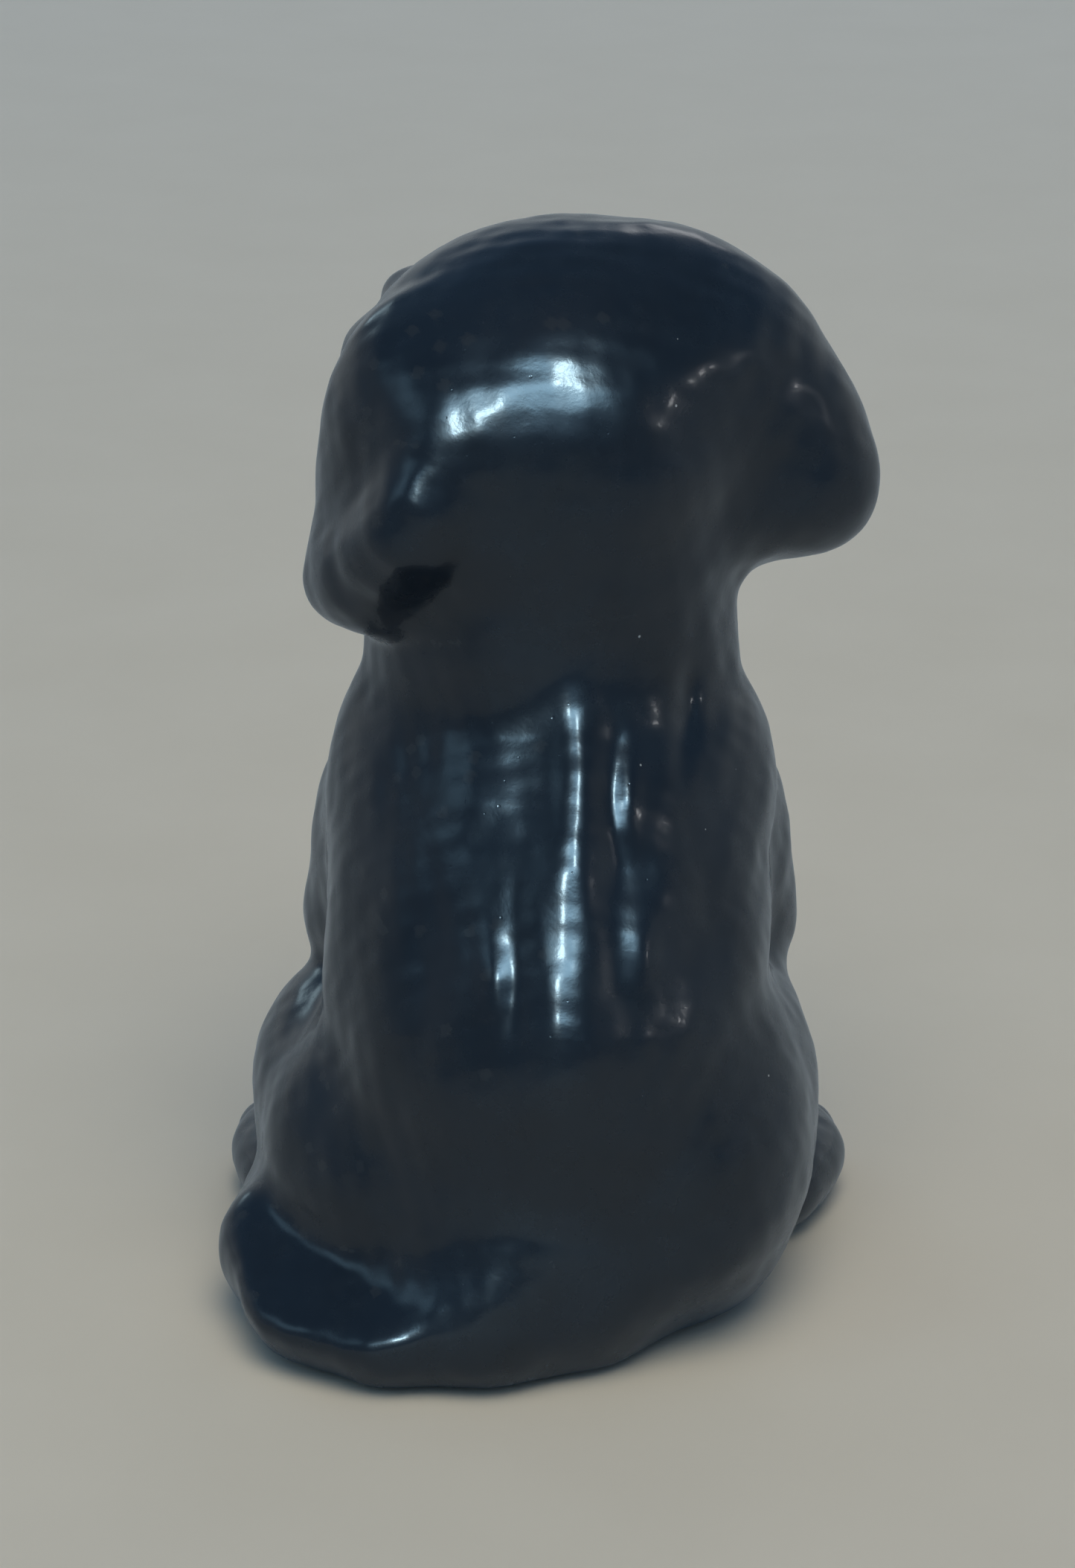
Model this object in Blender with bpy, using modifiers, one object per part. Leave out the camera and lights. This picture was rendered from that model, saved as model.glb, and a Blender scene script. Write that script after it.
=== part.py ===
"""A seated puppy in glazed ceramic, as the clay parts that it is luted together from.

Run it with blender --background --python part.py, or from the text editor.
The frame: +Z is up, the puppy faces -Y and its left side is +X. The origin is on the
ground face, under the middle of the body. Lengths below are in millimetres; MM turns
them into Blender's metres.

Each clay part is a group of overlapping rounded forms. The forms are fused with a voxel
remesh, smoothed and thinned, and then trimmed: flat at the ground, and hollowed to a
narrow gap where the part sits on a neighbour, as luted clay is scribed to fit. The body
and the head are hollow castings. The vent in the ground face opens into the body, and
the body opens into the head through the neck.
"""

import math

import bmesh
import bpy
from mathutils import Euler, Matrix, Vector

MM = 0.001

# Driving dimensions
WALL = 3.2  # thickness of the two hollow castings
FLOOR = 4.0  # thickness of the clay over the ground face
LUTE_GAP = 0.3  # room left for slip between two parts
NECK_SEAM = Vector((-1.0, -9.0, 49.2))  # a point on the cut between body and head
NECK_LEAN = 8.0  # degrees by which that cut drops towards the chest
VENT_RADIUS = 2.5
VENT_CENTRE = Vector((0.0, -8.0, 0.0))

# The flat top of the tail: a point on its outer edge, and the way that it faces
TAIL_CREST = Vector((9.6, 14.4, 6.2))
TAIL_TOP_FACING = Vector((0.30, 0.50, 0.81))

ELBOW_SHIFT = -0.9  # both elbows, towards the puppy's right

# The head is modelled looking along -Y, then turned about the middle of the skull.
SKULL_CENTRE = Vector((-0.5, -8.0, 61.0))
HEAD_TURN = (-4.0, 4.0, 25.0)  # degrees of nod, tilt and turn to the puppy's left

# Fineness of the meshes
VOXEL = 0.7  # grain of the remesh that fuses the forms
SOFTENING = 5  # rounds of smoothing over the joins of the forms
TRIANGLES = {
    "body": 1500,
    "head": 1600,
    "ear": 380,
    "haunch": 420,
    "hind_foot": 460,
    "foreleg": 700,
    "tail": 420,
    "core": 300,
}

GLAZE_COLOUR = (0.010, 0.014, 0.021, 1.0)
GLAZE_ROUGHNESS = 0.16


def clear_scene():
    for obj in list(bpy.data.objects):
        bpy.data.objects.remove(obj)


def collection(name):
    made = bpy.data.collections.new(name)
    bpy.context.scene.collection.children.link(made)
    return made


def glaze(part_name):
    """Blue-black gloss glaze for one part."""
    material = bpy.data.materials.new("glaze_" + part_name)
    material.use_nodes = True
    shader = material.node_tree.nodes["Principled BSDF"]
    shader.inputs["Base Color"].default_value = GLAZE_COLOUR
    shader.inputs["Roughness"].default_value = GLAZE_ROUGHNESS
    shader.inputs["Metallic"].default_value = 0.0
    material.diffuse_color = GLAZE_COLOUR
    return material


# Forms


def turned(degrees):
    return Euler([math.radians(angle) for angle in degrees]).to_matrix().to_4x4()


def ball(centre, radii, turn=(0, 0, 0)):
    """An ellipsoid: its middle, its three radii, and its turn about X, Y and Z in degrees."""
    return Vector(centre), Vector(radii), turn


def limb(start, end, start_radius, end_radius, steps=7):
    """A tapering rounded limb: balls close together along a line."""
    found = []
    for i in range(steps):
        t = i / (steps - 1)
        radius = start_radius + (end_radius - start_radius) * t
        found.append(ball(Vector(start).lerp(Vector(end), t), (radius,) * 3))
    return found


def three_toes(middle, spread, radii):
    """Toes side by side, the outer two a little further back."""
    x, y, z = middle
    set_back = 0.25 * spread
    return [ball((x + i * spread, y + set_back * abs(i), z), radii) for i in (-1, 0, 1)]


# Meshes


def mesh_object(name, work, where):
    """The work in bmesh as an object of that collection."""
    mesh = bpy.data.meshes.new(name)
    work.to_mesh(mesh)
    work.free()
    obj = bpy.data.objects.new(name, mesh)
    where.objects.link(obj)
    return obj


def keep_largest_body(mesh):
    """Drops the crumbs that a cut can leave beside a part."""
    work = bmesh.new()
    work.from_mesh(mesh)
    left = set(work.faces)
    bodies = []
    while left:
        stack = [left.pop()]
        body = list(stack)
        while stack:
            for edge in stack.pop().edges:
                for face in edge.link_faces:
                    if face in left:
                        left.remove(face)
                        stack.append(face)
                        body.append(face)
        bodies.append(body)
    bodies.sort(key=len)
    for body in bodies[:-1]:
        bmesh.ops.delete(work, geom=body, context="FACES")
    work.to_mesh(mesh)
    work.free()


def apply_modifiers(obj):
    graph = bpy.context.evaluated_depsgraph_get()
    mesh = bpy.data.meshes.new_from_object(obj.evaluated_get(graph))
    obj.modifiers.clear()
    obj.data = mesh
    keep_largest_body(mesh)


def clay(name, forms, where, triangles, pose=None, inset=0.0):
    """Fuses rounded forms, each made smaller by the inset, into one smooth closed body."""
    work = bmesh.new()
    for centre, radii, turn in forms:
        size = Matrix.Diagonal([(r - inset) * MM for r in radii] + [1.0])
        place = (pose or Matrix()) @ Matrix.Translation(centre * MM) @ turned(turn) @ size
        bmesh.ops.create_uvsphere(work, u_segments=32, v_segments=20, radius=1.0, matrix=place)
    obj = mesh_object(name, work, where)
    fuse = obj.modifiers.new("fuse", "REMESH")
    fuse.mode = "VOXEL"
    fuse.voxel_size = VOXEL * MM
    soften = obj.modifiers.new("soften", "SMOOTH")
    soften.factor = 0.5
    soften.iterations = SOFTENING
    apply_modifiers(obj)
    thin = obj.modifiers.new("thin", "DECIMATE")
    thin.ratio = min(1.0, triangles / (2 * len(obj.data.polygons)))
    apply_modifiers(obj)
    return obj


def as_cutter(obj):
    obj.hide_render = True
    obj.display_type = "WIRE"
    return obj


def grown(obj, cutters):
    """A cutter: the part with the lute gap added all round."""
    copy = bpy.data.objects.new(obj.name + "_cutter", obj.data.copy())
    cutters.objects.link(copy)
    swell = copy.modifiers.new("swell", "DISPLACE")
    swell.strength = LUTE_GAP * MM
    swell.mid_level = 0.0
    apply_modifiers(copy)
    return as_cutter(copy)


def slab(name, face_middle, depth, cutters, lean=0.0):
    """A wide box cutter that fills a depth above its face, or below it if negative."""
    width = 120.0
    middle = Matrix.Translation(Vector((0.0, 0.0, depth / 2)) * MM)
    size = Matrix.Diagonal((width * MM, width * MM, abs(depth) * MM, 1.0))
    place = Matrix.Translation(Vector(face_middle) * MM) @ turned((lean, 0, 0)) @ middle @ size
    work = bmesh.new()
    bmesh.ops.create_cube(work, size=1.0, matrix=place)
    return as_cutter(mesh_object(name, work, cutters))


def vent(cutters):
    """The round cutter that opens the floor of the body."""
    work = bmesh.new()
    bmesh.ops.create_cone(
        work,
        cap_ends=True,
        segments=24,
        radius1=VENT_RADIUS * MM,
        radius2=VENT_RADIUS * MM,
        depth=3 * FLOOR * MM,
        matrix=Matrix.Translation(VENT_CENTRE * MM),
    )
    return as_cutter(mesh_object("vent_cutter", work, cutters))


def cut(obj, *away):
    """Takes each cutter away from the object."""
    for cutter in away:
        boolean = obj.modifiers.new("cut", "BOOLEAN")
        boolean.operation = "DIFFERENCE"
        boolean.object = cutter
        apply_modifiers(obj)


# The parts of the puppy. side is 1 on its left and -1 on its right.


def body_forms():
    """Rump, flanks, chest and neck, with the ridge of the spine."""
    forms = [
        ball((-0.3, 0.6, 12.5), (15.2, 13.8, 17.4)),  # rump
        ball((-0.7, -2.0, 27.0), (15.2, 13.0, 15.0), (14, 0, 0)),  # flanks
        ball((-1.0, -8.0, 37.2), (15.2, 11.6, 12.2), (15, 0, 0)),  # chest and shoulders
        ball((-1.4, -8.6, 48.5), (10.0, 9.8, 9.4)),  # neck
        ball((0.0, -15.5, 33.0), (8.5, 6.5, 11.0), (10, 0, 0)),  # breast
        ball((0.0, -9.0, 6.0), (13.0, 12.0, 8.0)),  # belly, down to the ground
    ]
    forms += limb((-1.2, -5.2, 44.0), (-1.2, 3.4, 22.0), 8.0, 11.2)  # slope of the back
    forms += limb((-2.6, 2.2, 42.0), (-1.8, 11.3, 27.0), 2.4, 3.7)  # spine
    forms += limb((-1.8, 11.3, 27.0), (-1.6, 11.0, 19.0), 3.7, 2.6)
    return forms


def skull_forms():
    """The rounded forms that the head is hollowed to."""
    return [
        ball((0, 0, 0), (14.0, 13.6, 13.8)),  # skull
        ball((-1.0, -1.2, -11.0), (10.0, 9.2, 8.0)),  # throat
    ]


def head_forms():
    """Skull, face and a short stub of neck, looking along -Y."""
    forms = skull_forms() + [
        ball((0, -11.8, -4.4), (6.6, 7.6, 5.4)),  # muzzle
        ball((0, -19.0, -2.2), (2.3, 1.5, 1.6)),  # nose
        ball((0, -13.2, -8.6), (3.8, 4.4, 2.4)),  # chin
        ball((8.0, 1.2, -10.4), (4.4, 5.4, 6.0)),  # fold of the nape under the left ear
    ]
    for side in (-1, 1):
        forms += [
            ball((side * 4.1, -10.2, 6.6), (2.8, 2.5, 2.2)),  # brow
            ball((side * 7.8, -8.3, 3.1), (3.1, 3.4, 3.6)),  # temple
            ball((side * 7.4, -6.8, -6.0), (5.6, 5.6, 5.2)),  # cheek
            ball((side * 2.8, -16.0, -5.4), (3.2, 3.4, 2.9)),  # lip
            ball((side * 5.2, -12.0, 1.2), (1.9, 1.9, 1.9)),  # eye
        ]
    return forms


def ear_forms(side):
    """A thick folded ear. The left one hangs, the right one is flung out to the side."""
    if side > 0:
        fold = limb((10.7, 6.6, 1.6), (14.3, 5.8, -3.8), 2.1, 2.3)
        fold += limb((14.3, 5.8, -3.8), (15.0, -1.6, -8.8), 2.2, 1.8)
        return [
            ball((9.2, -0.6, 2.6), (3.7, 6.4, 5.8), (10, 10, 0)),
            ball((12.2, -0.8, -2.6), (3.1, 6.6, 5.8)),
            ball((14.0, -0.9, -7.7), (2.6, 4.2, 3.6)),
        ] + fold
    return [
        ball((-13.6, 4.0, -0.2), (6.6, 5.6, 11.2), (4, 35, -25)),
        ball((-14.1, 4.8, -4.9), (5.6, 4.6, 4.6)),
    ]


def haunch_forms(side):
    """Thigh and knee. The tail pushes the left one forwards and keeps it lower."""
    if side > 0:
        return [
            ball((11.0, -2.0, 10.8), (8.5, 12.0, 10.6), (0, 0, 6)),
            ball((14.4, -9.0, 12.0), (5.6, 7.0, 9.0)),
        ]
    return [
        ball((-10.6, 0.0, 12.0), (8.6, 12.6, 12.6), (0, 0, -8)),
        ball((-13.4, -7.5, 13.5), (5.8, 8.0, 10.4)),
    ]


def hind_foot_forms(side):
    """Heel, instep and three toes."""
    forms = [
        ball((side * 15.8, -10.0, 3.4), (4.6, 4.8, 3.7)),
        ball((side * 17.8, -15.5, 3.2), (4.6, 6.0, 3.6)),
    ]
    return forms + three_toes((side * 17.9, -20.6, 2.3), 2.6, (1.7, 2.8, 2.3))


def foreleg_forms(side):
    """Upper arm, foreleg, and a paw with three toes."""
    elbow = side * 12.4 + ELBOW_SHIFT
    forms = [ball((side * 12.6 + ELBOW_SHIFT, -12.0, 28.5), (4.3, 6.5, 9.0), (14, 0, 0))]
    forms += limb((elbow, -13.0, 23.0), (side * 10.4, -17.0, 14.0), 4.6, 3.9)
    forms += limb((side * 10.4, -17.0, 14.0), (side * 7.8, -19.8, 5.0), 3.9, 3.7)
    forms.append(ball((side * 7.6, -21.5, 3.2), (4.6, 5.6, 3.4)))
    return forms + three_toes((side * 7.6, -26.0, 2.4), 2.8, (1.8, 2.8, 2.4))


def tail_forms():
    """A thick tail on the ground that sweeps round to the puppy's left, and the shelf that
    runs up from it to the rump."""
    path = [
        ((-2.0, 9.2, 4.6), 4.4),
        ((4.0, 11.2, 4.4), 4.6),
        ((10.0, 10.8, 4.0), 4.8),
        ((14.6, 8.0, 4.6), 5.0),
        ((16.8, 2.8, 5.0), 4.8),
        ((16.6, -2.8, 5.0), 4.3),
    ]
    forms = [ball((8.0, 7.0, 5.5), (11.0, 7.6, 6.5))]
    for (start, start_radius), (end, end_radius) in zip(path, path[1:]):
        forms += limb(start, end, start_radius, end_radius, steps=5)
    return forms


def tail_top(cutters):
    """The flat, sloping top of the tail, as a wide block that cuts the clay over it away."""
    way = TAIL_TOP_FACING.to_track_quat("Z", "Y").to_matrix().to_4x4()
    size = Matrix.Diagonal((60 * MM, 60 * MM, 20 * MM, 1.0))
    place = Matrix.Translation(TAIL_CREST * MM) @ way @ Matrix.Translation((0, 0, 10 * MM)) @ size
    work = bmesh.new()
    bmesh.ops.create_cube(work, size=1.0, matrix=place)
    return as_cutter(mesh_object("tail_top_cutter", work, cutters))


def hollow_body(parts, cutters, ground):
    body = clay("body", body_forms(), parts, TRIANGLES["body"])
    core = as_cutter(clay("body_core", body_forms(), cutters, TRIANGLES["core"], inset=WALL))
    cut(core, slab("floor_cutter", (0, 0, FLOOR), -30, cutters))
    cut(body, ground, slab("above_neck_cutter", NECK_SEAM, 40, cutters, NECK_LEAN))
    cut(body, core, vent(cutters))
    return body


def hollow_head(parts, cutters, pose):
    head = clay("head", head_forms(), parts, TRIANGLES["head"], pose)
    core = clay("head_core", skull_forms(), cutters, TRIANGLES["core"], pose, WALL)
    seam = NECK_SEAM + Vector((0, 0, LUTE_GAP))
    cut(head, slab("below_neck_cutter", seam, -40, cutters, NECK_LEAN), as_cutter(core))
    return head


def main():
    clear_scene()
    parts = collection("puppy_figurine")
    cutters = collection("cutters")
    cutters.hide_render = True
    ground = slab("ground_cutter", (0, 0, 0), -30, cutters)
    pose = Matrix.Translation(SKULL_CENTRE * MM) @ turned(HEAD_TURN)

    body = hollow_body(parts, cutters, ground)
    head = hollow_head(parts, cutters, pose)
    on_body = grown(body, cutters)
    on_head = grown(head, cutters)
    behind_tail = [ground, on_body]

    for side, word in ((1, "left"), (-1, "right")):
        ear = clay("ear_" + word, ear_forms(side), parts, TRIANGLES["ear"], pose)
        cut(ear, on_head, on_body)

        haunch = clay("haunch_" + word, haunch_forms(side), parts, TRIANGLES["haunch"])
        cut(haunch, ground, on_body)
        on_haunch = grown(haunch, cutters)

        foot = clay("hind_foot_" + word, hind_foot_forms(side), parts, TRIANGLES["hind_foot"])
        cut(foot, ground, on_body, on_haunch)
        on_foot = grown(foot, cutters)

        foreleg = clay("foreleg_" + word, foreleg_forms(side), parts, TRIANGLES["foreleg"])
        cut(foreleg, ground, on_body, on_haunch, on_foot)
        behind_tail += [on_haunch, on_foot]

    tail = clay("tail", tail_forms(), parts, TRIANGLES["tail"])
    cut(tail, *behind_tail, tail_top(cutters))

    for obj in parts.objects:
        obj.data.materials.append(glaze(obj.name))
        obj.data.shade_smooth()


main()
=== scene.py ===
"""The looks of the puppy figurine: one glazed clay skin over the CAD's eleven clay parts.

The CAD keeps the parts apart, as luted clay. A fired figurine shows no joints: slip and
glaze run the parts together. So the skin is worked out here as one distance field, in the
CAD's own frame, and blends every part softly into its neighbours. The field is meshed
once, then divided along the creases into one closed piece for each CAD node.

Lengths are in design millimetres, where the puppy stands DESIGN_HEIGHT tall; UNIT, from
the frame, turns them into metres. +Z is up, the puppy faces -Y, its left is +X.
"""

import math

import bmesh
import bpy
import numpy as np
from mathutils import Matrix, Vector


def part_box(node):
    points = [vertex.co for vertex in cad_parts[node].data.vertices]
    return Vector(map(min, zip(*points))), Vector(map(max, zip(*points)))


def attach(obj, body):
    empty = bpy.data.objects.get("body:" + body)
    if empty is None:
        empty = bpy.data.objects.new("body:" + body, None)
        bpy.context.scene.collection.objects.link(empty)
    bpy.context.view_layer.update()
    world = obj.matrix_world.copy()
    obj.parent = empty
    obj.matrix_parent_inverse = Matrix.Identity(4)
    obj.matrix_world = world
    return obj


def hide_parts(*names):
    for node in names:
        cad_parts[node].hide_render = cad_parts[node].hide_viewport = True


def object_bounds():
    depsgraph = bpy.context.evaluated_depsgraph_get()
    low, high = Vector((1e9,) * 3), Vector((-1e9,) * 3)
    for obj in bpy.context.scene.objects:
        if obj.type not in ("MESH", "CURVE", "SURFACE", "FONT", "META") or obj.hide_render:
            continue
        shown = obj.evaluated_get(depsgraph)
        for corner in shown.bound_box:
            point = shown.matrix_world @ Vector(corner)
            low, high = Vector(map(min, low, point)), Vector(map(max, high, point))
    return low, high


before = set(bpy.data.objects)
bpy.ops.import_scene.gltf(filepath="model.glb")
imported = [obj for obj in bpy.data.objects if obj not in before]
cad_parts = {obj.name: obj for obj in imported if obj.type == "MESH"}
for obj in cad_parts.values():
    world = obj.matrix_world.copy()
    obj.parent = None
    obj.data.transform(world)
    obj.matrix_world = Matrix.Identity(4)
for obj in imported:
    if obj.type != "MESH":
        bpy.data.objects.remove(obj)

import openvdb
from mathutils import Euler, Vector

CAD_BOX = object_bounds()

DESIGN_HEIGHT = 74.8
UNIT = CAD_BOX[1].z / DESIGN_HEIGHT

GRAIN = 0.36  # edge of a mesh cell

# Places that the parts share
SKULL_RADII = (14.0, 13.6, 13.8)
HEAD_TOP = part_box("head")[1][2] / UNIT
SKULL = (-0.5, -8.0, HEAD_TOP - SKULL_RADII[2])
HEAD_TURN = (-4, 4, 25)  # nod, tilt and turn to the puppy's left

WALL = 3.2
FLOOR = 4.0
VENT_RADIUS = 2.5
VENT_CENTRE = (0.0, -8.0)
GROUND_EDGE = 1.2  # rounding where the skin meets the ground

# ---------------------------------------------------------------- distance fields
# Each function takes an array of points and gives their distances outside the form.


def turn_matrix(degrees):
    return np.array(Euler([math.radians(a) for a in degrees]).to_matrix(), np.float32)


def ball(points, centre, radii, turn=(0, 0, 0)):
    """An ellipsoid."""
    local = (points - np.array(centre, np.float32)) @ turn_matrix(turn)
    radii = np.array(radii, np.float32)
    near = np.sqrt(((local / radii) ** 2).sum(1))
    slope = np.sqrt(((local / radii**2) ** 2).sum(1))
    return near * (near - 1) / np.maximum(slope, 1e-6)


def limb(points, start, end, start_radius, end_radius):
    """A tapering rounded limb."""
    start, end = np.array(start, np.float32), np.array(end, np.float32)
    along = end - start
    t = np.clip(((points - start) @ along) / (along @ along), 0, 1)
    gap = np.sqrt(((points - start - t[:, None] * along) ** 2).sum(1))
    return gap - (start_radius + (end_radius - start_radius) * t)


def blend(a, b, softness):
    """Both forms, with a fillet as wide as the softness between them."""
    h = np.maximum(softness - np.abs(a - b), 0) / softness
    return np.minimum(a, b) - h * h * softness * 0.25


def carve(a, b, softness):
    """Form a with form b pressed out of it."""
    return -blend(-a, b, softness)


def chain(points, joints, softness):
    """Limbs end to end. Each joint is a point and a radius."""
    found = None
    for (start, start_radius), (end, end_radius) in zip(joints, joints[1:]):
        piece = limb(points, start, end, start_radius, end_radius)
        found = piece if found is None else blend(found, piece, softness)
    return found


def ramp(x, low, high):
    t = np.clip((x - low) / (high - low), 0, 1)
    return t * t * (3 - 2 * t)


def toes(points, found, middle, spread, radii):
    x, y, z = middle
    for i in (-1, 0, 1):
        toe = ball(points, (x + i * spread, y + 0.25 * spread * abs(i), z), radii)
        found = blend(found, toe, 0.6)
    return found


# ---------------------------------------------------------------- the puppy's parts

# Relief of the back, seen from behind: middle x and z, half width, half height, lean in
# degrees, and how far it rises (or sinks, if negative).
BACK_RELIEF = [
    (-2.6, 43.0, 1.7, 4.6, 0, 0.8),  # spine, broader downwards
    (-2.3, 36.5, 2.4, 4.5, 0, 0.9),
    (-1.8, 27.4, 3.4, 6.4, 0, 1.35),
    (-5.0, 37.5, 1.1, 6.0, 0, -0.35),  # furrows beside it
    (-6.3, 35.6, 1.8, 1.8, 0, -0.3),  # a dip that ends the right one's streak
    (1.5, 30.0, 1.0, 4.0, 0, -0.3),
    (-5.9, 40.3, 0.9, 2.6, 0, 0.4),  # shoulder blades
    (2.9, 40.0, 2.6, 1.8, 6, 0.2),
    (-10.0, 44.5, 0.9, 3.6, 4, -0.45),
    (3.4, 44.4, 4.4, 3.2, 0, -0.45),
    (2.8, 29.6, 1.1, 2.6, 0, 0.4),  # loin muscles
    (-7.0, 30.6, 1.2, 2.6, -8, 0.5),
    (-11.2, 33.0, 1.8, 5.0, -10, -0.4),
    (7.4, 31.0, 1.9, 7.0, 4, -0.4),
]


def relief(points, table):
    x, z = points[:, 0], points[:, 2]
    rise = np.zeros(len(points), np.float32)
    for middle_x, middle_z, half_width, half_height, lean, height in table:
        c, s = math.cos(math.radians(lean)), math.sin(math.radians(lean))
        u = ((x - middle_x) * c + (z - middle_z) * s) / half_width
        v = (-(x - middle_x) * s + (z - middle_z) * c) / half_height
        rise += height * np.exp(-(u * u + v * v))
    return rise * ramp(points[:, 1], -6, 0)


def body(points):
    found = ball(points, (-0.3, 0.6, 12.5), (15.2, 13.8, 17.4))  # rump
    found = blend(found, ball(points, (-0.7, -2.0, 27), (15.2, 13.0, 15.0), (14, 0, 0)), 6)
    found = blend(found, ball(points, (-1.0, -8.0, 37.2), (15.2, 11.6, 12.2), (15, 0, 0)), 6)
    found = blend(found, limb(points, (-1.2, -5.2, 44), (-1.2, 3.4, 22), 8.0, 11.2), 5)
    found = blend(found, ball(points, (-1.4, -8.6, 48.5), (10.0, 9.8, 9.4)), 5)  # neck
    found = blend(found, ball(points, (0, -15.5, 33), (8.5, 6.5, 11.0), (10, 0, 0)), 5)
    found = blend(found, ball(points, (0, -9.0, 6.0), (13.0, 12.0, 8.0)), 5)
    return found - relief(points, BACK_RELIEF)


def head_places(points):
    """World points in the frame of a head that looks along -Y."""
    return (points - np.array(SKULL, np.float32)) @ turn_matrix(HEAD_TURN)


def throat(q):
    """The stub of neck under the skull, in the head's frame."""
    return ball(q, (-1.0, -1.2, -11.0), (10.0, 9.2, 8.0))


def head(points):
    q = head_places(points)
    found = ball(q, (0, 0, 0), SKULL_RADII)
    found = blend(found, ball(q, (0, -11.8, -4.4), (6.6, 7.6, 5.4)), 4)  # muzzle
    for side in (-1, 1):
        found = blend(found, ball(q, (side * 4.1, -10.2, 6.6), (2.8, 2.5, 2.2)), 1.4)  # brow
        found = blend(found, ball(q, (side * 7.8, -8.3, 3.1), (3.1, 3.4, 3.6)), 1.4)  # temple
        found = blend(found, ball(q, (side * 7.4, -6.8, -6.0), (5.6, 5.6, 5.2)), 3)  # cheek
        found = blend(found, ball(q, (side * 2.8, -16.0, -5.4), (3.2, 3.4, 2.9)), 1.0)  # lip
        found = carve(found, ball(q, (side * 5.3, -14.2, 1.2), (2.6, 2.4, 2.3)), 1.4)  # socket
        found = blend(found, ball(q, (side * 5.2, -12.0, 1.2), (1.9, 1.9, 1.9)), 0.3)  # eye
    found = blend(found, ball(q, (0, -13.2, -8.6), (3.8, 4.4, 2.4)), 0.8)  # chin
    found = blend(found, ball(q, (0, -19.0, -2.2), (2.3, 1.5, 1.6)), 0.6)  # nose
    found = blend(found, throat(q), 3)
    return blend(found, ball(q, (6.8, 2.0, -9.6), (4.0, 5.4, 5.2)), 3)  # under the left ear


# The folded edge down the back of the left ear: joints, in the CAD's frame, and radii
LEFT_EAR_RIM = [
    ((6.4, 2.6, 61.4), 2.0),
    ((7.6, 3.4, 59.2), 2.3),
    ((8.9, 3.1, 57.2), 2.4),
    ((10.3, 1.6, 55.3), 2.3),
    ((11.8, -0.8, 53.2), 2.0),
    ((13.4, -4.4, 51.3), 1.8),
]


def ear(points, side):
    q = head_places(points)
    if side < 0:
        found = ball(q, (-13.6, 4.0, -0.2), (6.6, 5.6, 11.2), (4, 35, -25))
        return blend(found, ball(q, (-14.1, 4.8, -4.9), (5.6, 4.6, 4.6)), 4)
    found = ball(q, (9.2, -0.6, 2.6), (3.7, 6.4, 5.8), (10, 10, 0))
    found = blend(found, ball(q, (12.2, -0.8, -2.6), (3.1, 6.6, 5.8)), 3)
    found = blend(found, ball(q, (14.0, -0.9, -7.7), (2.6, 4.2, 3.6)), 2.4)
    return blend(found, chain(points, LEFT_EAR_RIM, 1.5), 2.4)


def haunch(points, side):
    if side > 0:
        thigh = ball(points, (11.0, -2.0, 10.8), (8.5, 12.0, 10.6), (0, 0, 6))
        return blend(thigh, ball(points, (14.4, -9.0, 12.0), (5.6, 7.0, 9.0)), 3)
    thigh = ball(points, (-10.6, 0.0, 12.0), (8.6, 12.6, 12.6), (0, 0, -8))
    return blend(thigh, ball(points, (-13.4, -7.5, 13.5), (5.8, 8.0, 10.4)), 3)


def hind_foot(points, side):
    found = ball(points, (side * 15.8, -10, 3.4), (4.6, 4.8, 3.7))
    found = blend(found, ball(points, (side * 17.8, -15.5, 3.2), (4.6, 6.0, 3.6)), 3)
    return toes(points, found, (side * 17.9, -20.6, 2.3), 2.6, (1.7, 2.8, 2.3))


ELBOW_SHIFT = -0.9  # both elbows, to the puppy's right


def foreleg(points, side):
    found = ball(points, (side * 12.6 + ELBOW_SHIFT, -12.0, 28.5), (4.3, 6.5, 9.0), (14, 0, 0))
    joints = [
        ((side * 12.4 + ELBOW_SHIFT, -13, 23), 4.6),
        ((side * 10.4, -17, 14), 3.9),
        ((side * 7.8, -19.8, 5), 3.7),
    ]
    found = blend(found, chain(points, joints, 2), 3)
    found = blend(found, ball(points, (side * 7.6, -21.5, 3.2), (4.6, 5.6, 3.4)), 2)
    return toes(points, found, (side * 7.6, -26.0, 2.4), 2.8, (1.8, 2.8, 2.4))


TAIL_CREST = (9.6, 14.4, 6.2)  # a point on the edge between the tail's wall and its top
TAIL_TOP = (0.30, 0.50, 0.81)  # the way that the sloping top faces


def tail(points):
    """A thick tail on the ground, with an upright wall and a flat top that slopes up to the
    rump."""
    joints = [
        ((-2.0, 9.2, 4.6), 4.4),
        ((4.0, 11.2, 4.4), 4.6),
        ((10.0, 10.8, 4.0), 4.8),
        ((14.6, 8.0, 4.6), 5.0),
        ((16.8, 2.8, 5.0), 4.8),
        ((16.6, -2.8, 5.0), 4.3),
    ]
    found = chain(points, joints, 2)
    found = blend(found, ball(points, (8.0, 7.0, 5.5), (11.0, 7.6, 6.5)), 3)
    top = np.array(TAIL_TOP, np.float32)
    below_top = -(points - np.array(TAIL_CREST, np.float32)) @ (top / np.linalg.norm(top))
    return carve(found, below_top, 1.0)


def head_softness(points):
    """Smooth down the nape, creased under the cheeks and the jaw."""
    return 3.0 + 5.0 * ramp(points[:, 1], -14, -6)


def left_ear_softness(points):
    """The hanging ear runs into the head behind, and shows an edge in front."""
    back = ramp(points[:, 1], -9, -3) * ramp(points[:, 2], 47, 50)
    crown = ramp(points[:, 1], -9, -3) * ramp(points[:, 2], 60, 67)
    low = ramp(points[:, 1], -9, -3) * ramp(points[:, 2], 58, 53)
    return 1.2 + 2.6 * back + 2.0 * crown + 1.0 * low


def right_ear_softness(points):
    """The flung ear grows smoothly out of the crown and is creased off lower down."""
    return 4.5 + 5.5 * ramp(points[:, 2], 58, 70)


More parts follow.
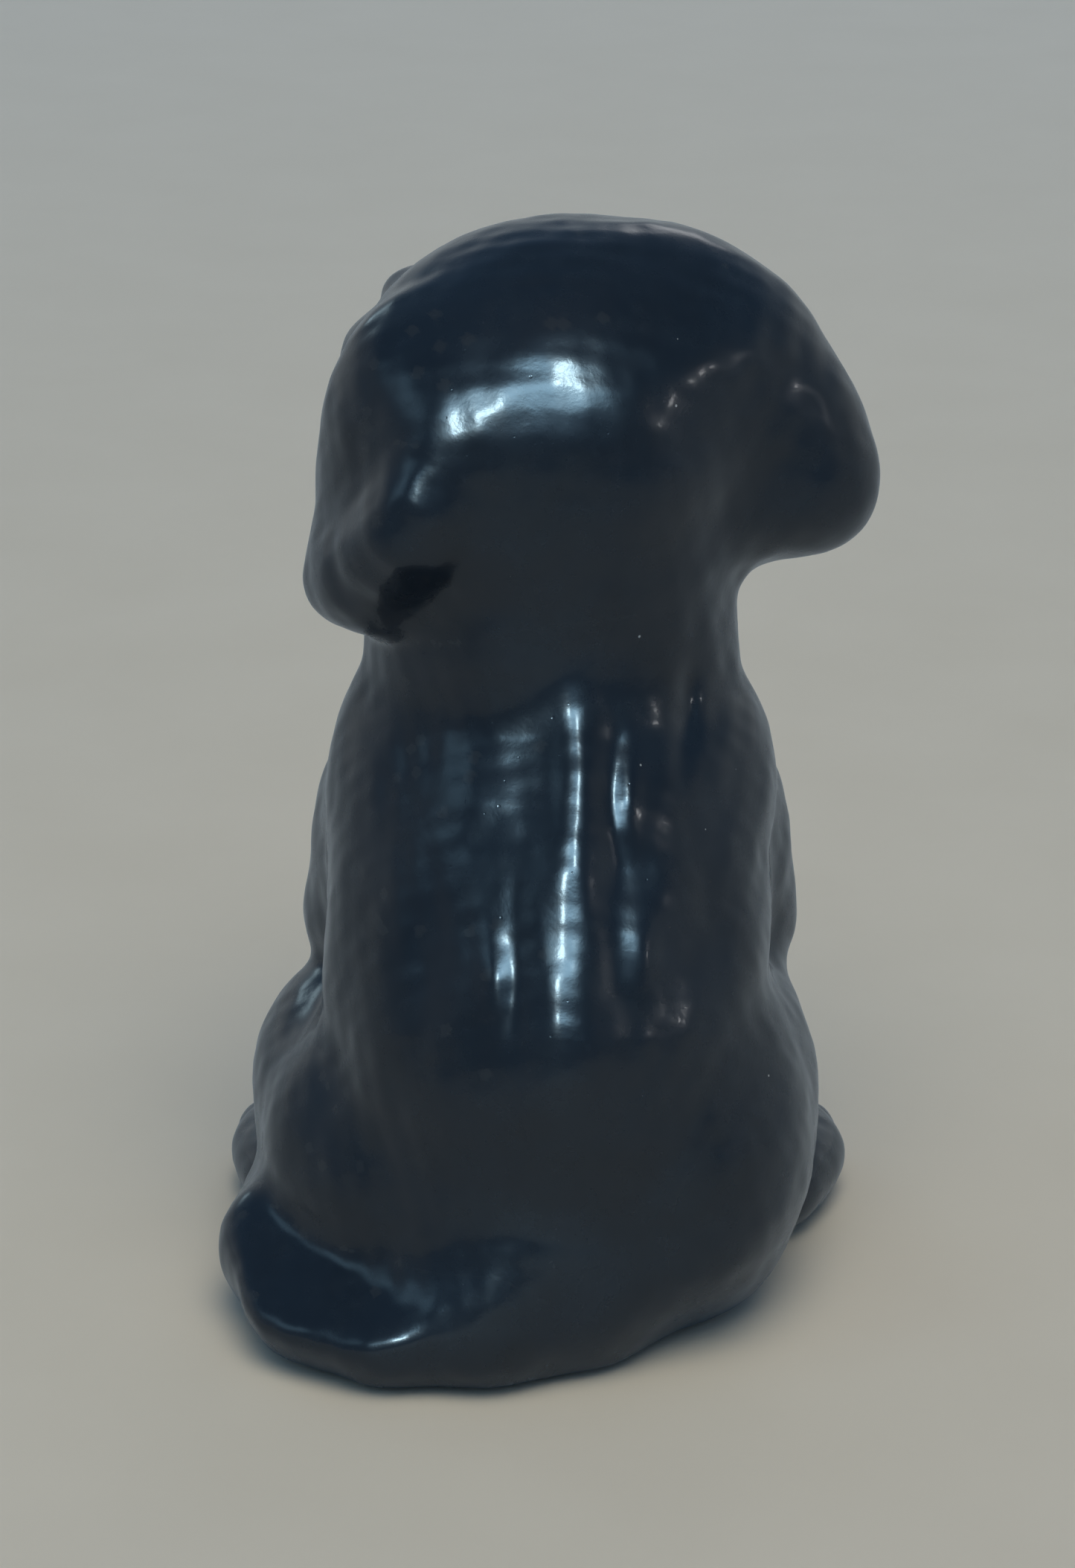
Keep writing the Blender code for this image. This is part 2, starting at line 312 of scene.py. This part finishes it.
def tail_softness(points):
    """The tail's root grows out of the rump; its end lies against the haunch."""
    return 1.6 + 4.4 * ramp(points[:, 0], 15, 6)


# Each part's field, and how softly it runs into those before it. The body comes first.
PARTS = {
    "body": (body, None),
    "head": (head, head_softness),
    "ear_left": (lambda p: ear(p, 1), left_ear_softness),
    "ear_right": (lambda p: ear(p, -1), right_ear_softness),
    "haunch_left": (lambda p: haunch(p, 1), 2.2),
    "haunch_right": (lambda p: haunch(p, -1), 2.4),
    "hind_foot_left": (lambda p: hind_foot(p, 1), 1.0),
    "hind_foot_right": (lambda p: hind_foot(p, -1), 1.0),
    "foreleg_left": (lambda p: foreleg(p, 1), 1.8),
    "foreleg_right": (lambda p: foreleg(p, -1), 1.8),
    "tail": (tail, tail_softness),
}


def make_waves(count, shortest, longest, seed):
    """Random directions, wavelengths and phases for the unevenness of hand-finished clay."""
    rng = np.random.default_rng(seed)
    way = rng.normal(size=(count, 3))
    way /= np.linalg.norm(way, axis=1, keepdims=True)
    length = rng.uniform(shortest, longest, count)
    ways = (2 * np.pi * way / length[:, None]).astype(np.float32)
    return ways, rng.uniform(0, 2 * np.pi, count)


BROAD_WAVES = make_waves(9, 5.0, 11.0, seed=4)
FINE_WAVES = make_waves(12, 1.6, 3.2, seed=7)
BROAD_HEIGHT = 0.035
FINE_HEIGHT = 0.006


def unevenness(points):
    total = np.zeros(len(points), np.float32)
    for (ways, phases), height in ((BROAD_WAVES, BROAD_HEIGHT), (FINE_WAVES, FINE_HEIGHT)):
        for way, phase in zip(ways, phases):
            total += height * np.sin(points @ way + phase).astype(np.float32)
    return total


def skin(points):
    """The whole glazed outside, flat at the ground with a rounded edge."""
    found = None
    for field, softness in PARTS.values():
        here = field(points)
        if found is None:
            found = here
            continue
        found = blend(found, here, softness(points) if callable(softness) else softness)
    found -= unevenness(points)
    return carve(found, points[:, 2], GROUND_EDGE)


def hollow(points):
    """The inside of the casting, with the vent through its floor."""
    q = head_places(points)
    inside = blend(ball(q, (0, 0, 0), SKULL_RADII), throat(q), 3)
    inside = blend(body(points), inside, 3) + WALL
    inside = np.maximum(inside, FLOOR - points[:, 2])
    x, y = points[:, 0] - VENT_CENTRE[0], points[:, 1] - VENT_CENTRE[1]
    vent = np.maximum(np.sqrt(x * x + y * y) - VENT_RADIUS, np.abs(points[:, 2]) - FLOOR - 1)
    return np.minimum(inside, vent)


def figure(points):
    return np.maximum(skin(points), -hollow(points))


def gradient(field, points, step=0.04):
    centre = field(points)
    ways = np.eye(3, dtype=np.float32) * step
    return centre, np.stack([(field(points + way) - centre) / step for way in ways], 1)


# ---------------------------------------------------------------- meshes


def in_batches(field, points, size=300000):
    out = np.empty(len(points), np.float32)
    for i in range(0, len(points), size):
        out[i : i + size] = field(points[i : i + size])
    return out


def mesh_of(field, low, high, grain, settle=2):
    """Vertices and quads of the surface where the field is zero. The field is worked out
    on a coarse grid first, and finely only near the surface."""
    coarse = 4
    low, high = np.array(low, float), np.array(high, float)
    cells = np.ceil((high - low) / (grain * coarse)).astype(int)
    middles = [low[i] + (np.arange(cells[i]) + 0.5) * coarse * grain for i in range(3)]
    middles = np.stack(np.meshgrid(*middles, indexing="ij"), -1).reshape(-1, 3).astype(np.float32)
    rough = in_batches(field, middles).reshape(cells)
    near = np.abs(rough) < coarse * grain * 0.87 + 1.6 * grain + 0.8
    for axis in range(3):
        rough = np.repeat(rough, coarse, axis)
        near = np.repeat(near, coarse, axis)
    places = (low + np.argwhere(near) * grain).astype(np.float32)
    rough[near] = in_batches(field, places)
    grid = openvdb.FloatGrid(background=3 * grain)
    grid.copyFromArray(np.clip(rough, -3 * grain, 3 * grain).astype(np.float32))
    grid.transform = openvdb.createLinearTransform(voxelSize=grain)
    points, quads = grid.convertToQuads(isovalue=0.0)
    points = (points + low).astype(np.float32)
    for _ in range(settle):
        distance, slope = gradient(field, points)
        square = np.maximum((slope**2).sum(1), 0.2)
        step = np.clip(distance / square, -0.3 * grain, 0.3 * grain)
        points -= step[:, None] * slope
    return points, quads


def mesh_object(name, points, faces):
    mesh = bpy.data.meshes.new(name)
    mesh.from_pydata((points * UNIT).tolist(), [], faces.tolist())
    mesh.validate()
    obj = bpy.data.objects.new(name, mesh)
    bpy.context.scene.collection.objects.link(obj)
    return obj


def boolean(obj, other, operation, name):
    """A new object: obj cut by, or limited to, the other."""
    modifier = obj.modifiers.new(operation, "BOOLEAN")
    modifier.solver = "MANIFOLD"
    modifier.operation = operation
    modifier.object = other
    graph = bpy.context.evaluated_depsgraph_get()
    mesh = bpy.data.meshes.new_from_object(obj.evaluated_get(graph))
    obj.modifiers.clear()
    mesh.name = name
    made = bpy.data.objects.new(name, mesh)
    bpy.context.scene.collection.objects.link(made)
    return made


def remove(obj):
    mesh = obj.data
    bpy.data.objects.remove(obj)
    bpy.data.meshes.remove(mesh)


YIELD = 0.25  # how much nearer than its rivals a part has to be, to have a place


def territory_mesh(name, rivals, margin=2.0, grain=0.8):
    """A closed mesh of the places that are nearer to this part than to its rivals, cut off
    by a box round its CAD node."""
    low, high = (np.array(corner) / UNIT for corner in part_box(name))
    middle, half = (low + high) / 2, (high - low) / 2 + margin

    def field(points):
        mine = PARTS[name][0](points)
        theirs = np.min([PARTS[rival][0](points) for rival in rivals], 0)
        return np.maximum(mine - theirs + YIELD, (np.abs(points - middle) - half).max(1))

    around = 3 * grain
    points, quads = mesh_of(field, middle - half - around, middle + half + around, grain, 1)
    return mesh_object(name + "_territory", points, quads)


def drop_specks(obj):
    """Keeps the largest body: a division can leave specks in its corners."""
    mesh = obj.data
    ends = np.empty(len(mesh.edges) * 2, np.int32)
    mesh.edges.foreach_get("vertices", ends)
    one, other = ends.reshape(-1, 2).T
    found, label = None, np.arange(len(mesh.vertices))
    while not np.array_equal(found, label):
        found = label.copy()
        lower = np.minimum(label[one], label[other])
        np.minimum.at(label, one, lower)
        np.minimum.at(label, other, lower)
        label = label[label]
    largest = np.bincount(label).argmax()
    work = bmesh.new()
    work.from_mesh(mesh)
    specks = [vertex for vertex in work.verts if label[vertex.index] != largest]
    bmesh.ops.delete(work, geom=specks, context="VERTS")
    work.to_mesh(mesh)
    work.free()


def smooth_skin(obj):
    """Normals from the field itself, so that glaze runs over the divisions without a line."""
    mesh = obj.data
    count = len(mesh.vertices)
    points = np.empty(count * 3, np.float32)
    mesh.vertices.foreach_get("co", points)
    points = points.reshape(-1, 3) / UNIT
    distance, slope = gradient(skin, points)
    slope /= np.maximum(np.linalg.norm(slope, axis=1, keepdims=True), 1e-6)
    loop_vertex = np.empty(len(mesh.loops), np.int32)
    mesh.loops.foreach_get("vertex_index", loop_vertex)
    starts = np.empty(len(mesh.polygons), np.int32)
    mesh.polygons.foreach_get("loop_start", starts)
    totals = np.empty(len(mesh.polygons), np.int32)
    mesh.polygons.foreach_get("loop_total", totals)
    flat = np.empty(len(mesh.polygons) * 3, np.float32)
    mesh.polygons.foreach_get("normal", flat)
    flat = np.repeat(flat.reshape(-1, 3), totals, 0)
    on_skin = np.abs(distance[loop_vertex]) < 0.1
    whole = np.minimum.reduceat(on_skin.astype(np.int8), starts)
    on_skin = np.repeat(whole, totals).astype(bool) & ((slope[loop_vertex] * flat).sum(1) > 0.3)
    normals = np.where(on_skin[:, None], slope[loop_vertex], flat)
    mesh.shade_smooth()
    mesh.normals_split_custom_set(normals.tolist())


def make_pieces():
    """The whole figure, divided into one closed piece for each CAD node."""
    margin = 3.0
    low = np.array(CAD_BOX[0]) / UNIT - margin
    high = np.array(CAD_BOX[1]) / UNIT + margin
    rest = mesh_object("figure", *mesh_of(figure, low, high, GRAIN))
    made = {}
    left_over = list(PARTS)
    while len(left_over) > 1:
        name = left_over.pop()
        cutter = territory_mesh(name, left_over)
        made[name] = boolean(rest, cutter, "INTERSECT", name + "_glazed")
        left = boolean(rest, cutter, "DIFFERENCE", "rest")
        remove(rest)
        remove(cutter)
        rest = left
    rest.name = "body_glazed"
    made["body"] = rest
    return made


# ---------------------------------------------------------------- materials


class Nodes:
    """A material's node tree, with one short call for each node and its links."""

    def __init__(self, name):
        self.material = bpy.data.materials.new(name)
        self.material.use_nodes = True
        self.tree = self.material.node_tree
        self.shader = self.tree.nodes["Principled BSDF"]

    def add(self, kind, inputs=None, **settings):
        node = self.tree.nodes.new("ShaderNode" + kind)
        for key, value in settings.items():
            setattr(node, key, value)
        for key, value in (inputs or {}).items():
            self.link(value, node.inputs[key])
        return node

    def link(self, value, socket):
        if isinstance(value, bpy.types.NodeSocket):
            self.tree.links.new(value, socket)
        else:
            socket.default_value = value

    def noise(self, where, scale, detail=2.0, roughness=0.5):
        inputs = {"Vector": where, "Scale": scale, "Detail": detail, "Roughness": roughness}
        return self.add("TexNoise", inputs).outputs["Fac"]

    def spots(self, where, scale, randomness=1.0):
        inputs = {"Vector": where, "Scale": scale, "Randomness": randomness}
        return self.add("TexVoronoi", inputs)

    def fit(self, value, low, high, to_low=0.0, to_high=1.0):
        inputs = {"Value": value, "From Min": low, "From Max": high}
        inputs.update({"To Min": to_low, "To Max": to_high})
        return self.add("MapRange", inputs).outputs["Result"]

    def sum(self, a, b, operation="ADD"):
        node = self.add("Math", operation=operation)
        self.link(a, node.inputs[0])
        self.link(b, node.inputs[1])
        return node.outputs[0]

    def mix(self, factor, a, b):
        node = self.add("Mix", data_type="RGBA")
        self.link(factor, node.inputs["Factor"])
        self.link(a, node.inputs["A"])
        self.link(b, node.inputs["B"])
        return node.outputs["Result"]


def glaze_material():
    """Blue-black glaze: thin and pale over edges, pooled and dark in creases, with orange
    peel, pinholes and a little dust."""
    n = Nodes("blue_black_glaze")
    where = n.add("TexCoord").outputs["Object"]
    design = n.add("VectorMath", {0: where}, operation="SCALE")
    design.inputs["Scale"].default_value = 1 / UNIT
    p = design.outputs["Vector"]

    cloud = n.noise(p, 0.12, 3.0)
    mottle = n.noise(p, 0.9, 3.0, 0.6)
    colour = n.mix(n.fit(cloud, 0.35, 0.65), (0.0065, 0.0105, 0.0165, 1), (0.009, 0.0155, 0.025, 1))
    colour = n.mix(n.fit(mottle, 0.45, 0.75, 0.0, 0.5), colour, (0.013, 0.02, 0.029, 1))

    edge = n.fit(n.add("NewGeometry").outputs["Pointiness"], 0.52, 0.6)
    colour = n.mix(n.sum(edge, 0.5, "MULTIPLY"), colour, (0.03, 0.034, 0.038, 1))

    speck = n.spots(p, 0.45)
    speck_draw = n.add("SeparateColor", {"Color": speck.outputs["Color"]}).outputs[0]
    dust = n.sum(speck.outputs["Distance"], n.fit(speck_draw, 0.75, 1.0, 0.0, 0.045), "LESS_THAN")
    colour = n.mix(n.sum(dust, 0.8, "MULTIPLY"), colour, (0.5, 0.5, 0.48, 1))
    # Painted reflection of a wooden floor: a brown band round the bottom rim with a wandering top
    # edge. The coat is also left off in this band.
    height_above_base = n.add("SeparateXYZ", {"Vector": p}).outputs["Z"]
    wander = n.sum(n.noise(p, 0.4, 3.0), 0.7, "MULTIPLY")
    wood_reflection_band = n.fit(n.sum(height_above_base, wander, "SUBTRACT"), 0.25, -0.05)
    colour = n.mix(wood_reflection_band, colour, (0.075, 0.055, 0.038, 1))
    n.link(colour, n.shader.inputs["Base Color"])

    streak = n.noise(p, 0.35, 4.0, 0.6)
    n.link(n.fit(streak, 0.3, 0.7, 0.22, 0.30), n.shader.inputs["Roughness"])
    n.shader.inputs["Specular IOR Level"].default_value = 0.4
    n.link(n.fit(wood_reflection_band, 0.0, 1.0, 0.3, 0.0), n.shader.inputs["Coat Weight"])
    n.link(n.fit(mottle, 0.3, 0.7, 0.06, 0.12), n.shader.inputs["Coat Roughness"])

    peel = n.noise(p, 1.2, 3.0, 0.6)
    pore = n.spots(p, 1.3)
    pore_draw = n.add("SeparateColor", {"Color": pore.outputs["Color"]}).outputs[1]
    rim = n.fit(pore_draw, 0.6, 1.0, 0.0, 0.16)
    pit = n.fit(n.sum(pore.outputs["Distance"], rim, "SUBTRACT"), -0.08, 0.0)
    height = n.sum(n.sum(peel, 0.03, "MULTIPLY"), n.sum(pit, 0.02, "MULTIPLY"), "ADD")
    bump = n.add("Bump", {"Height": height, "Distance": UNIT, "Strength": 0.5})
    n.link(bump.outputs["Normal"], n.shader.inputs["Normal"])
    n.link(bump.outputs["Normal"], n.shader.inputs["Coat Normal"])
    return n.material


# The surroundings are paler beyond the figurine than behind the camera.
BEYOND = (0.40, 0.45, 0.48, 1)
BEHIND_CAMERA = (0.12, 0.19, 0.28, 1)
IN_REFLECTIONS = (0.56, 0.58, 0.57, 1)  # the floor, as the glaze shows it


def floor_material():
    """A pale floor that fades into the surroundings farther out."""
    n = Nodes("pale_floor")
    where = n.add("TexCoord").outputs["Object"]
    grain = n.noise(where, 60.0, 4.0)
    seen = n.mix(grain, (0.74, 0.665, 0.545, 1), (0.80, 0.725, 0.605, 1))
    straight = n.add("LightPath").outputs["Is Camera Ray"]
    n.link(n.mix(straight, IN_REFLECTIONS, seen), n.shader.inputs["Base Color"])
    n.shader.inputs["Roughness"].default_value = 0.7
    away = n.add("VectorMath", {0: where}, operation="LENGTH").outputs["Value"]
    way = n.add("VectorMath", {0: where}, operation="NORMALIZE").outputs["Vector"]
    toward_camera = n.fit(n.add("SeparateXYZ", {"Vector": way}).outputs["Y"], -0.6, 0.6)
    glow = n.add("Emission", {"Color": n.mix(toward_camera, BEYOND, BEHIND_CAMERA)})
    nearest = n.fit(toward_camera, 0, 1, 0.14, 0.05)
    farthest = n.fit(toward_camera, 0, 1, 1.2, 0.4)
    faded = n.add("MixShader", {0: n.fit(away, nearest, farthest)})
    n.tree.links.new(n.shader.outputs[0], faded.inputs[1])
    n.tree.links.new(glow.outputs[0], faded.inputs[2])
    n.tree.links.new(faded.outputs[0], n.tree.nodes["Material Output"].inputs["Surface"])
    return n.material


# ---------------------------------------------------------------- stage, light and camera


def make_floor():
    bpy.ops.mesh.primitive_circle_add(vertices=128, radius=6.0, fill_type="NGON")
    floor = bpy.context.object
    floor.name = "floor"
    floor.location.z = CAD_BOX[0].z - 0.00002
    floor.data.materials.append(floor_material())


def direction(azimuth, elevation):
    """Towards a viewer at this azimuth; 0 stands on the -Y side, looking along +Y."""
    a, e = math.radians(azimuth), math.radians(elevation)
    return Vector((math.sin(a) * math.cos(e), -math.cos(a) * math.cos(e), math.sin(e)))


def aim(obj, target, back, distance):
    obj.location = target + back * distance
    obj.rotation_mode = "QUATERNION"
    obj.rotation_quaternion = (-back).to_track_quat("-Z", "Y")


LIGHT_DISTANCE = 1.5


def softbox(name, azimuth, elevation, width, height, radiance, colour=(1, 1, 1), **shown):
    """An oval softbox that looks this many degrees wide and high from the figurine, and
    fades out towards its rim. It may be left out of reflections, or light only them."""
    light = bpy.data.lights.new(name, "AREA")
    light.shape = "ELLIPSE"
    light.size, light.size_y = (
        2 * LIGHT_DISTANCE * math.tan(math.radians(angle / 2)) for angle in (width, height)
    )
    light.energy = radiance * math.pi * (math.pi * light.size * light.size_y / 4)
    light.color = colour
    light.use_nodes = True
    tree = light.node_tree
    place = tree.nodes.new("ShaderNodeNewGeometry")
    from_middle = tree.nodes.new("ShaderNodeVectorMath")
    from_middle.operation = "DISTANCE"
    from_middle.inputs[1].default_value = (0.5, 0.5, 0.0)
    fade = tree.nodes.new("ShaderNodeMapRange")
    fade.interpolation_type = "SMOOTHSTEP"
    fade.inputs["From Min"].default_value = 0.5
    fade.inputs["From Max"].default_value = 0.0
    tree.links.new(place.outputs["Parametric"], from_middle.inputs[0])
    tree.links.new(from_middle.outputs["Value"], fade.inputs["Value"])
    tree.links.new(fade.outputs["Result"], tree.nodes["Emission"].inputs["Strength"])
    obj = bpy.data.objects.new(name, light)
    bpy.context.scene.collection.objects.link(obj)
    obj.visible_glossy = shown.get("seen", True)
    obj.visible_diffuse = shown.get("lights_floor", True)
    aim(obj, Vector((0, 0, 0.5 * CAD_BOX[1].z)), direction(azimuth, elevation), LIGHT_DISTANCE)


def make_world():
    """Even studio surroundings: pale at the horizon, cooler and dimmer overhead."""
    world = bpy.data.worlds.new("studio")
    world.use_nodes = True
    tree = world.node_tree
    where = tree.nodes.new("ShaderNodeTexCoord")
    split = tree.nodes.new("ShaderNodeSeparateXYZ")
    tree.links.new(where.outputs["Generated"], split.inputs[0])
    horizon = tree.nodes.new("ShaderNodeValToRGB")
    horizon.color_ramp.elements[0].color = BEYOND
    horizon.color_ramp.elements[1].color = BEHIND_CAMERA
    toward_camera = tree.nodes.new("ShaderNodeMapRange")
    toward_camera.inputs["From Min"].default_value = -0.6
    toward_camera.inputs["From Max"].default_value = 0.6
    tree.links.new(split.outputs["Y"], toward_camera.inputs["Value"])
    tree.links.new(toward_camera.outputs["Result"], horizon.inputs["Fac"])
    height = tree.nodes.new("ShaderNodeMapRange")
    height.interpolation_type = "SMOOTHSTEP"
    height.inputs["From Max"].default_value = 0.6
    tree.links.new(split.outputs["Z"], height.inputs["Value"])
    sky = tree.nodes.new("ShaderNodeMix")
    sky.data_type = "RGBA"
    tree.links.new(height.outputs["Result"], sky.inputs["Factor"])
    tree.links.new(horizon.outputs["Color"], sky.inputs["A"])
    sky.inputs["B"].default_value = (0.075, 0.145, 0.25, 1)
    tree.links.new(sky.outputs["Result"], tree.nodes["Background"].inputs["Color"])
    bpy.context.scene.world = world


def make_lights():
    blue = (0.44, 0.76, 1.0)
    cool = (0.66, 0.90, 1.0)
    warm = (1.0, 0.92, 0.76)
    softbox("window", 184, 37, 78, 26, 15.0, blue, lights_floor=False)
    softbox("core_right", 202, 41, 16, 9, 70.0, cool, lights_floor=False)
    softbox("core_left", 165, 31, 14, 11, 74.0, cool, lights_floor=False)
    softbox("lamp_side", 253, 9, 5, 4, 32.0)
    softbox("sky_left", 108, 28, 44, 30, 1.2, blue)
    softbox("front", 345, 26, 30, 20, 2.0)
    softbox("front_left", 40, 24, 24, 18, 3.0, cool)
    softbox("fill", 190, 68, 60, 60, 5.0, warm, seen=False)


VIEW_ELEVATION = 22.0
VIEW_DISTANCE = 300.0  # from the middle of the view
FRAME_HEIGHT = 105.3  # how much the long side of the picture takes in there
VIEW_MIDDLE = 0.5134  # of the figurine's height


def make_camera():
    camera = bpy.data.cameras.new("camera")
    camera.sensor_fit = "AUTO"
    camera.sensor_width = 36.0
    camera.lens = camera.sensor_width * VIEW_DISTANCE / FRAME_HEIGHT
    camera.clip_start, camera.clip_end = 0.01, 10.0
    obj = bpy.data.objects.new("camera", camera)
    bpy.context.scene.collection.objects.link(obj)
    bpy.context.scene.camera = obj
    middle = Vector((0, 0, VIEW_MIDDLE * CAD_BOX[1].z))
    aim(obj, middle, direction(180, VIEW_ELEVATION), VIEW_DISTANCE * UNIT)


def main():
    finish = glaze_material()
    for node, piece in make_pieces().items():
        drop_specks(piece)
        smooth_skin(piece)
        piece.data.materials.clear()
        piece.data.materials.append(finish)
        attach(piece, "root")
        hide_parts(node)
    make_floor()
    make_world()
    make_lights()
    make_camera()
    bpy.context.scene.view_settings.view_transform = "Standard"


main()
